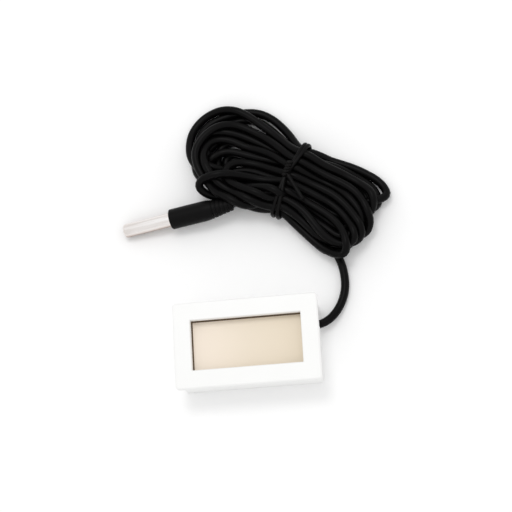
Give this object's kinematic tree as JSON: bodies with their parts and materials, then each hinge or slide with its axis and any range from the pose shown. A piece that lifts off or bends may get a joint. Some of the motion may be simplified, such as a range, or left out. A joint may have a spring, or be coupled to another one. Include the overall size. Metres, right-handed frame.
{
  "type": "digital panel thermometer",
  "caption": "Snap-in panel thermometer: a white case with a liquid crystal display, and a thin tied lead that ends in a metal temperature probe.",
  "frame": {"origin": "on the flat back of the case, under the middle of its flange; the case lies on its back", "axes": "+X runs along the display to its right, +Y runs up the display, +Z points out of the display"},
  "size_m": [0.0911, 0.0986, 0.0152],
  "materials": {
    "case_plastic": "fine satin, moulded",
    "display_film": "plain warm beige, semi-gloss",
    "display_glass": "clear, polished",
    "reflector_film": "silvery, diffuse",
    "elastomer": "soft, striped edge",
    "foam": "open cell, matt",
    "board_laminate": "green solder mask",
    "chip_resin": "cast epoxy",
    "capacitor_ceramic": "fired ceramic",
    "resistor_ceramic": "fired ceramic",
    "screw_steel": "zinc plated",
    "cell_steel": "nickel plated, satin",
    "contact_metal": "plated spring strip",
    "solder": "bright, smooth",
    "core_insulation": "thin sleeving",
    "lead_jacket": "soft sheen, extruded",
    "tie_wire": "coated wire, twisted",
    "sleeve_rubber": "moulded, matt",
    "probe_metal": "drawn tube, polished",
    "potting_resin": "cast epoxy",
    "thermistor_ceramic": "dipped bead",
    "wire_metal": "tinned copper"
  },
  "bodies": {
    "case": {"front_housing": "case_plastic", "rear_cover": "case_plastic", "front_film": "display_film", "front_glass": "display_glass", "rear_glass": "display_glass", "rear_reflector": "reflector_film", "elastomer_strip": "elastomer", "support_foam": "foam", "circuit_board": "board_laminate", "chip_resin": "chip_resin", "capacitors": "capacitor_ceramic", "resistors": "resistor_ceramic", "board_screws": "screw_steel", "cell_left": "cell_steel", "cell_right": "cell_steel", "cap_contact_left": "contact_metal", "cap_contact_right": "contact_metal", "side_contact_left": "contact_metal", "side_contact_right": "contact_metal", "solder_joints": "solder", "lead_cores": "core_insulation", "lead_case_run": "lead_jacket", "lead_hank": "lead_jacket", "lead_probe_run": "lead_jacket", "hank_tie": "tie_wire", "probe_sleeve": "sleeve_rubber", "probe_sheath": "probe_metal", "probe_potting": "potting_resin", "thermistor": "thermistor_ceramic", "thermistor_wires": "wire_metal"},
    "door": {"battery_door": "case_plastic"}
  },
  "joints": [
    {"name": "battery_door_slide", "type": "slide", "parent": "case", "child": "door", "axis": [-1, 0, 0], "range_m": [0, 0.0316]}
  ]
}
